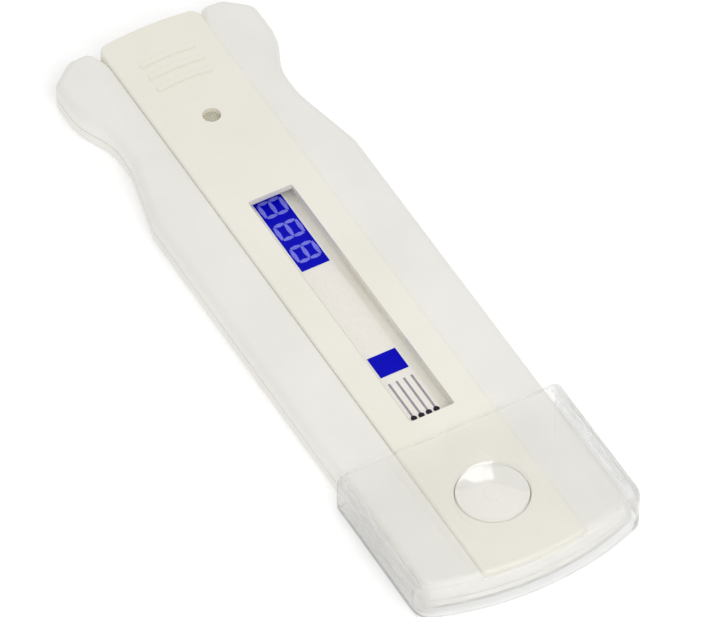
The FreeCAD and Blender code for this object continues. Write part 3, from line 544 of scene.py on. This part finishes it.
low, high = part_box("sound_screen")
centre = (low + high) / 2
reach = (high.x - low.x) / 2 - RING_WIDTH * MM / 2
count = int(reach / (GAUZE_PITCH * MM))
swing = GAUZE_WIRE * GAUZE_SWING * MM
cloth = []
for way in (0, 1):
    for i in range(-count, count + 1):
        across = i * GAUZE_PITCH * MM
        span = math.sqrt(max(reach ** 2 - across ** 2, 0))
        half_steps = int(2 * span / (GAUZE_PITCH * MM))
        thread = []
        for j in range(-half_steps, half_steps + 1):
            along = j * GAUZE_PITCH * MM / 2
            lift = swing * math.cos(math.pi * (along / (GAUZE_PITCH * MM) + i + way))
            spot = (across, along) if way else (along, across)
            thread.append((centre.x + spot[0], centre.y + spot[1], centre.z + lift))
        if len(thread) > 1:
            cloth.append(thread)
turns = [math.tau * k / RING_STEPS for k in range(RING_STEPS + 1)]
ring = [(centre.x + reach * math.cos(turn), centre.y + reach * math.sin(turn), centre.z) for turn in turns]
gauze_cloth = moulded("Polyester monofilament woven", "#E2DECD", "#D2CEBC", 0.5, pebble=0.1, flow=2)
wires("sound_gauze", cloth + [ring], GAUZE_WIRE * MM, gauze_cloth, "case", "screen_mesh", "sound_screen")

# ---- display tray and strip ------------------------------------------------
# The tray under the opening is an unpolished ABS moulding with a rib along
# its middle. On the rib lies a strip of coated card with a faint fibre, and
# a striped elastomer joins its far end to the board.

LAYER_PITCH = 0.25

dress(moulded("ABS moulded tray white", "#F6F4EC", "#F2EFE6", 0.6, pebble=0.25), "display_tray")

card, tree, shader = finish("Card with clay coating", IOR=1.45, Specular_IOR_Level=0.35)
place = add(tree, "TexCoord").outputs["Object"]
along = add(tree, "Mapping", {"Vector": place, "Scale": (1.0, 0.25, 1.0)})
fibre = add(tree, "TexNoise", {"Vector": along.outputs[0], "Scale": 1 / (0.3 * MM), "Detail": 4.0,
                               "Roughness": 0.7})
tint = add(tree, "ValToRGB", {"Fac": fibre.outputs["Fac"]}, stops=((0.3, "#F0ECE4"), (0.7, "#F7F4ED")))
sheen = add(tree, "MapRange", {"Value": fibre.outputs["Fac"], "To Min": 0.5, "To Max": 0.75})
lay_on(tree, shader, tint.outputs["Color"], sheen.outputs[0], fibre.outputs["Fac"], 0.01 * MM, 0.4)
dress(card, "display_strip")

rubber, tree, shader = finish("Silicone elastomer with carbon layers", IOR=1.43)
place = add(tree, "TexCoord").outputs["Object"]
layers = add(tree, "TexWave", {"Vector": place, "Scale": 1 / (LAYER_PITCH * MM * math.tau)},
             bands_direction="X")
stripe = add(tree, "ValToRGB", {"Fac": layers.outputs["Fac"]}, stops=((0.45, "#18181A"), (0.55, "#D8C8C0")))
matt = add(tree, "MapRange", {"Value": layers.outputs["Fac"], "To Min": 0.5, "To Max": 0.7})
lay_on(tree, shader, stripe.outputs["Color"], matt.outputs[0], layers.outputs["Fac"], 0.01 * MM)
dress(rubber, "display_connector")

# ---- printing on the strip -------------------------------------------------
# Enamel inks, screen-printed: a deep blue panel with three seven-bar figures
# in a paler blue, a blue square, and four thin grey lines that end in dark
# dots. Ink lies a little uneven and has a low gloss.

FIGURES = 3
FIGURE_PITCH = 6.6
FIGURE_LONG = 5.6
FIGURE_WIDE = 4.7
STROKE = 0.82
NICK = 0.1                   # how much shorter a bar is than its side of the figure


def printed_ink(name, light, shade, rough):
    """A screen-printed ink: a little blotchy, with the screen's grain in its skin."""
    material, tree, shader = finish(name, IOR=1.45, Specular_IOR_Level=0.08)
    place = add(tree, "TexCoord").outputs["Object"]
    blotch = add(tree, "TexNoise", {"Vector": place, "Scale": 1 / (1.1 * MM), "Detail": 4.0,
                                    "Roughness": 0.6})
    tint = add(tree, "ValToRGB", {"Fac": blotch.outputs["Fac"]}, stops=((0.32, shade), (0.68, light)))
    shine = add(tree, "MapRange", {"Value": blotch.outputs["Fac"], "To Min": rough - 0.1,
                                   "To Max": rough + 0.1})
    screen = add(tree, "TexNoise", {"Vector": place, "Scale": 1 / (0.15 * MM), "Detail": 1.0})
    lay_on(tree, shader, tint.outputs["Color"], shine.outputs[0], screen.outputs["Fac"], 0.004 * MM, 0.4)
    return material


dress(printed_ink("Enamel ink deep blue", "#0202C8", "#0101B4", 0.5), "readout_panel", "status_square")
dress(printed_ink("Enamel ink grey", "#A8A2AC", "#968F9C", 0.55), "strip_traces")
dress(printed_ink("Enamel ink plum", "#372F3E", "#2A2430", 0.5), "strip_pads")


def bar(shape, x, y, length, along_y):
    """One pointed bar of a figure, raised by the ink's thickness."""
    point = STROKE * MM / math.sqrt(3)
    verts = bmesh.ops.create_circle(shape, cap_ends=True, segments=6, radius=point)["verts"]
    for sign in (-1, 1):
        half = [v for v in verts if v.co.x * sign > 0]
        bmesh.ops.translate(shape, vec=(sign * (length * MM / 2 - point), 0, 0), verts=half)
    if along_y:
        bmesh.ops.rotate(shape, cent=(0, 0, 0), matrix=Matrix.Rotation(math.pi / 2, 3, "Z"), verts=verts)
    bmesh.ops.translate(shape, vec=(x, y, ink_low), verts=verts)
    out = bmesh.ops.extrude_face_region(shape, geom=list({f for v in verts for f in v.link_faces}))["geom"]
    raised = [g for g in out if isinstance(g, bmesh.types.BMVert)]
    bmesh.ops.translate(shape, vec=(0, 0, ink_high - ink_low), verts=raised)


low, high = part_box("readout_digits")
ink_low, ink_high = low.z, high.z
middle = (low + high) / 2
figures = bmesh.new()
tall = (FIGURE_LONG - STROKE) / 2
wide = (FIGURE_WIDE - STROKE) / 2
for i in range(FIGURES):
    y = middle.y + (i - (FIGURES - 1) / 2) * FIGURE_PITCH * MM
    for level in (-1, 0, 1):
        bar(figures, level * tall * MM, y, 2 * wide - NICK, True)
    for half in (-0.5, 0.5):
        for side in (-1, 1):
            bar(figures, half * tall * MM, y + side * wide * MM, tall - NICK, False)
bmesh.ops.recalc_face_normals(figures, faces=figures.faces)
pale_blue = printed_ink("Enamel ink pale blue", "#8386F0", "#6F73E0", 0.5)
piece("figures", figures, (pale_blue,), "case", "pale_print", "readout_digits")

# ---- centre cover ----------------------------------------------------------
# The raised strip down the middle is a separate ABS moulding in a warmer
# batch of white. It is welded onto the deck and carries the display opening,
# the sound port and three thumb ribs.

dress(moulded("ABS moulded warm white", "#F4F1E6", "#F0EDE0", 0.42, **WHITE_SKIN), "spine_cover")

# ---- case screws -----------------------------------------------------------
# Four thread-forming screws from below, zinc-plated and a little grey where
# the driver has bitten.

dress(metal("Steel plated with zinc", "#C8C8C6", "#A4A4A2", 0.35, 0.3), "case_screws")

# ---- clear end cap ---------------------------------------------------------
# The cap is clear crystal polystyrene, polished in the tool, with a low
# bubble over the key. It slips over the head and stays on by friction, so it
# has picked up faint hairline scratches.

SIDE_WALL = 1.4
END_WALL = 1.6
FLOOR_WALL = 1.3
CAP_END_BOW = 64.0
CAP_CORNER = 4.0
CORNER_STEPS = 8
BOW_STEPS = 32
CAP_EDGE = 2.6
CAP_FOOT = 1.0
INNER_FOOT = 0.3
BUBBLE_RADIUS = 7.9
BUBBLE_WALL = 0.5
BUBBLE_RISE = 1.4
BUBBLE_FLARE = 1.35          # over 1, so that the bubble runs out flat at its foot
BUBBLE_RINGS = 14
BUBBLE_SIDES = 96
RIM_ROUND = 0.25
BAND_START = 3.2             # how far in from the side the cap begins to look denser
BAND_END = 1.6
ALPHA_TOP = 0.2
ALPHA_SIDE = 0.55

cap_low, cap_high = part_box("end_cap")
cap_top = cap_high.z - BUBBLE_RISE * MM


def follow(shape, point, centre, turn, steps):
    """Carries a point round an arc in plan, drawing its edges; returns its last place."""
    arc = bmesh.ops.spin(shape, geom=[point], cent=centre, axis=(0, 0, 1), angle=turn, steps=steps)
    return next(g for g in arc["geom_last"] if isinstance(g, bmesh.types.BMVert))


def bubble_height(share):
    """The bubble's rise at a share of its radius: round on top, flared at its foot."""
    return BUBBLE_RISE * MM * (1 - share ** 2) ** BUBBLE_FLARE


def cap_skin(shape, side_wall, end_wall, floor, ceiling, edge, foot, bubble):
    """One skin of the sleeve, open at the rim; sizes in metres. Returns its rim's edges."""
    old_edges = set(shape.edges)
    half = cap_high.x - side_wall
    near = cap_low.y + end_wall
    rim = cap_high.y
    bow = CAP_END_BOW * MM - end_wall
    corner = CAP_CORNER * MM - side_wall
    turn = math.asin((half - corner) / (bow - corner))
    corner_y = near + bow - (bow - corner) * math.cos(turn)
    start = shape.verts.new((-half, rim, floor))
    left = shape.verts.new((-half, corner_y, floor))
    shape.edges.new((start, left))
    last = follow(shape, left, (corner - half, corner_y, floor), math.pi / 2 - turn, CORNER_STEPS)
    last = follow(shape, last, (0, near + bow, floor), 2 * turn, BOW_STEPS)
    last = follow(shape, last, (half - corner, corner_y, floor), math.pi / 2 - turn, CORNER_STEPS)
    stop = shape.verts.new((half, rim, floor))
    shape.edges.new((last, stop))
    shape.edges.new((stop, start))
    outline = [e for e in shape.edges if e not in old_edges]
    base = bmesh.ops.contextual_create(shape, geom=outline)["faces"]
    out = bmesh.ops.extrude_face_region(shape, geom=base)["geom"]
    lifted = [g for g in out if isinstance(g, bmesh.types.BMVert)]
    bmesh.ops.translate(shape, vec=(0, 0, ceiling - floor), verts=lifted)
    new_faces = {f for e in shape.edges if e not in old_edges for f in e.link_faces}
    mouth = [f for f in new_faces if all(abs(v.co.y - rim) < TINY for v in f.verts)]
    bmesh.ops.delete(shape, geom=mouth, context="FACES_ONLY")
    for level, size, segments in ((ceiling, edge, CORNER_STEPS), (floor, foot, CORNER_STEPS // 2)):
        bent = [e for e in shape.edges if e not in old_edges
                and all(abs(v.co.z - level) < TINY for v in e.verts)
                and any(v.co.y < rim - TINY for v in e.verts)]
        bmesh.ops.bevel(shape, geom=bent, offset=size, segments=segments, profile=0.5,
                        affect="EDGES", material=-1)
    new_faces = {f for e in shape.edges if e not in old_edges for f in e.link_faces}
    top = max((f for f in new_faces if all(abs(v.co.z - ceiling) < TINY for v in f.verts)),
              key=lambda f: f.calc_area())
    border = list(top.edges)
    bmesh.ops.delete(shape, geom=[top], context="FACES_ONLY")
    ring = bmesh.ops.create_circle(shape, segments=BUBBLE_SIDES, radius=bubble)["verts"]
    bmesh.ops.translate(shape, vec=(0, key_centre.y, ceiling), verts=ring)
    ring_edges = list({e for v in ring for e in v.link_edges})
    bmesh.ops.triangle_fill(shape, use_beauty=True, edges=border + ring_edges, normal=(0, 0, 1))
    share = 1.0
    to_axis = Matrix.Translation((0, -key_centre.y, 0))
    for step in range(1, BUBBLE_RINGS):
        wanted = 1 - step / BUBBLE_RINGS
        out = bmesh.ops.extrude_edge_only(shape, edges=ring_edges)["geom"]
        ring = [g for g in out if isinstance(g, bmesh.types.BMVert)]
        ring_edges = [g for g in out if isinstance(g, bmesh.types.BMEdge)]
        bmesh.ops.scale(shape, vec=(wanted / share, wanted / share, 1), verts=ring, space=to_axis)
        rise = bubble_height(wanted) - bubble_height(share)
        bmesh.ops.translate(shape, vec=(0, 0, rise), verts=ring)
        share = wanted
    crown = bmesh.ops.contextual_create(shape, geom=ring_edges)["faces"]
    poked = bmesh.ops.poke(shape, faces=crown)["verts"]
    bmesh.ops.translate(shape, vec=(0, 0, bubble_height(0) - bubble_height(share)), verts=poked)
    return [e for e in shape.edges if e not in old_edges and len(e.link_faces) == 1]


cap = bmesh.new()
outer_rim = cap_skin(cap, 0, 0, 0, cap_top, CAP_EDGE * MM, CAP_FOOT * MM, BUBBLE_RADIUS * MM)
inner_rim = cap_skin(cap, SIDE_WALL * MM, END_WALL * MM, FLOOR_WALL * MM, cap_top - SIDE_WALL * MM,
                     (CAP_EDGE - SIDE_WALL) * MM, INNER_FOOT * MM, (BUBBLE_RADIUS - BUBBLE_WALL) * MM)
lip = list({v for e in inner_rim for v in e.verts})
for reach in (MM, -MM):      # the inner rim is held out while the two are bridged
    bmesh.ops.translate(cap, vec=(0, reach, 0), verts=lip)
    if reach > 0:
        bmesh.ops.bridge_loops(cap, edges=outer_rim + inner_rim)
bmesh.ops.recalc_face_normals(cap, faces=cap.faces)
bmesh.ops.bevel(cap, geom=outer_rim + inner_rim, offset=RIM_ROUND * MM, segments=2, profile=0.5,
                affect="EDGES", material=-1)
clear_ps, tree, shader = finish("Polystyrene polished clear", IOR=1.5, Transmission_Weight=1.0)
place = add(tree, "TexCoord").outputs["Object"]
drawn = add(tree, "Mapping", {"Vector": place, "Scale": (1.0, 0.05, 1.0)})
hairs = add(tree, "TexNoise", {"Vector": drawn.outputs[0], "Scale": 1 / (0.35 * MM), "Detail": 3.0})
smudge = add(tree, "TexNoise", {"Vector": place, "Scale": 1 / (7 * MM), "Detail": 3.0})
haze = add(tree, "MapRange", {"Value": smudge.outputs["Fac"], "From Min": 0.35, "From Max": 0.7,
                              "To Min": 0.03, "To Max": 0.12})
clear = add(tree, "ValToRGB", {"Fac": smudge.outputs["Fac"]}, stops=((0.3, "#FCFCFA"), (0.7, "#F6F7F5")))
across = add(tree, "SeparateXYZ", {"Vector": place})
from_middle = add(tree, "Math", {0: across.outputs["X"]}, operation="ABSOLUTE")
# the cap is thinned by its alpha, less so at the side walls, which are seen edge on
edge_on = add(tree, "MapRange", {"Value": from_middle.outputs[0], "From Min": cap_high.x - BAND_START * MM,
                                 "From Max": cap_high.x - BAND_END * MM, "To Min": ALPHA_TOP,
                                 "To Max": ALPHA_SIDE})
tree.links.new(edge_on.outputs[0], shader.inputs["Alpha"])
lay_on(tree, shader, clear.outputs["Color"], haze.outputs[0], hairs.outputs["Fac"], 0.002 * MM, 0.3)
clear_cap = piece("clear_cap", cap, (clear_ps,), "end_cap", "clear_cap", "end_cap")
clear_cap.modifiers.new("flat faces shade flat", "WEIGHTED_NORMAL").keep_sharp = True

# ---- table, light and camera -----------------------------------------------
# A plain white table that glows faintly, in a white room, with one softbox
# above the near end and a window-like one beyond the grip.

TABLE_SIDE = 40.0
TABLE_DROP = 0.05            # the table stays this far clear of the underside
TABLE_GLOW = 0.14
ROOM = 0.66
table = bmesh.new()
bmesh.ops.create_grid(table, x_segments=2, y_segments=2, size=TABLE_SIDE / 2)
bmesh.ops.translate(table, vec=(0, 0, -TABLE_DROP * MM), verts=table.verts)
table_mesh = bpy.data.meshes.new("table_top")
table.to_mesh(table_mesh)
table.free()
table_top = bpy.data.objects.new("table_top", table_mesh)
bpy.context.scene.collection.objects.link(table_top)
paper, tree, shader = finish("Paper matt white", Base_Color=srgb("#FFFFFF"), Roughness=0.8,
                             Emission_Color=srgb("#FFFFFF"), Emission_Strength=TABLE_GLOW)
table_mesh.materials.append(paper)

world = bpy.data.worlds.new("white room")
bpy.context.scene.world = world
world.use_nodes = True
world.node_tree.nodes["Background"].inputs["Color"].default_value = srgb("#FFFFFF")
world.node_tree.nodes["Background"].inputs["Strength"].default_value = ROOM


def softbox(name, place, side, power):
    """A square area lamp that looks at the object."""
    data = bpy.data.lights.new(name, "AREA")
    data.shape = "SQUARE"
    data.size = side
    data.energy = power
    lamp = bpy.data.objects.new(name, data)
    bpy.context.scene.collection.objects.link(lamp)
    lamp.location = place
    lamp.rotation_euler = (-Vector(place)).to_track_quat("-Z", "Y").to_euler()


softbox("overhead_softbox", place=(-0.04, -0.32, 0.42), side=0.3, power=0.88)
softbox("window_softbox", place=(0.32, 0.85, 0.55), side=0.4, power=0.95)

CAMERA_AIM = Vector((0.002721, 0.000008, 0.0))
CAMERA_AZIMUTH = math.radians(-29.195)
CAMERA_ELEVATION = math.radians(48.810)
CAMERA_DISTANCE = 1.6839
CAMERA_LENS = 441.07
SENSOR_WIDTH = 36.0
back = Vector((math.sin(CAMERA_AZIMUTH) * math.cos(CAMERA_ELEVATION),
               -math.cos(CAMERA_AZIMUTH) * math.cos(CAMERA_ELEVATION), math.sin(CAMERA_ELEVATION)))
camera_data = bpy.data.cameras.new("camera")
camera_data.lens = CAMERA_LENS
camera_data.sensor_width = SENSOR_WIDTH
camera = bpy.data.objects.new("camera", camera_data)
bpy.context.scene.collection.objects.link(camera)
camera.location = CAMERA_AIM + back * CAMERA_DISTANCE
camera.rotation_euler = (-back).to_track_quat("-Z", "Y").to_euler()
bpy.context.scene.camera = camera
bpy.context.scene.view_settings.view_transform = "Standard"
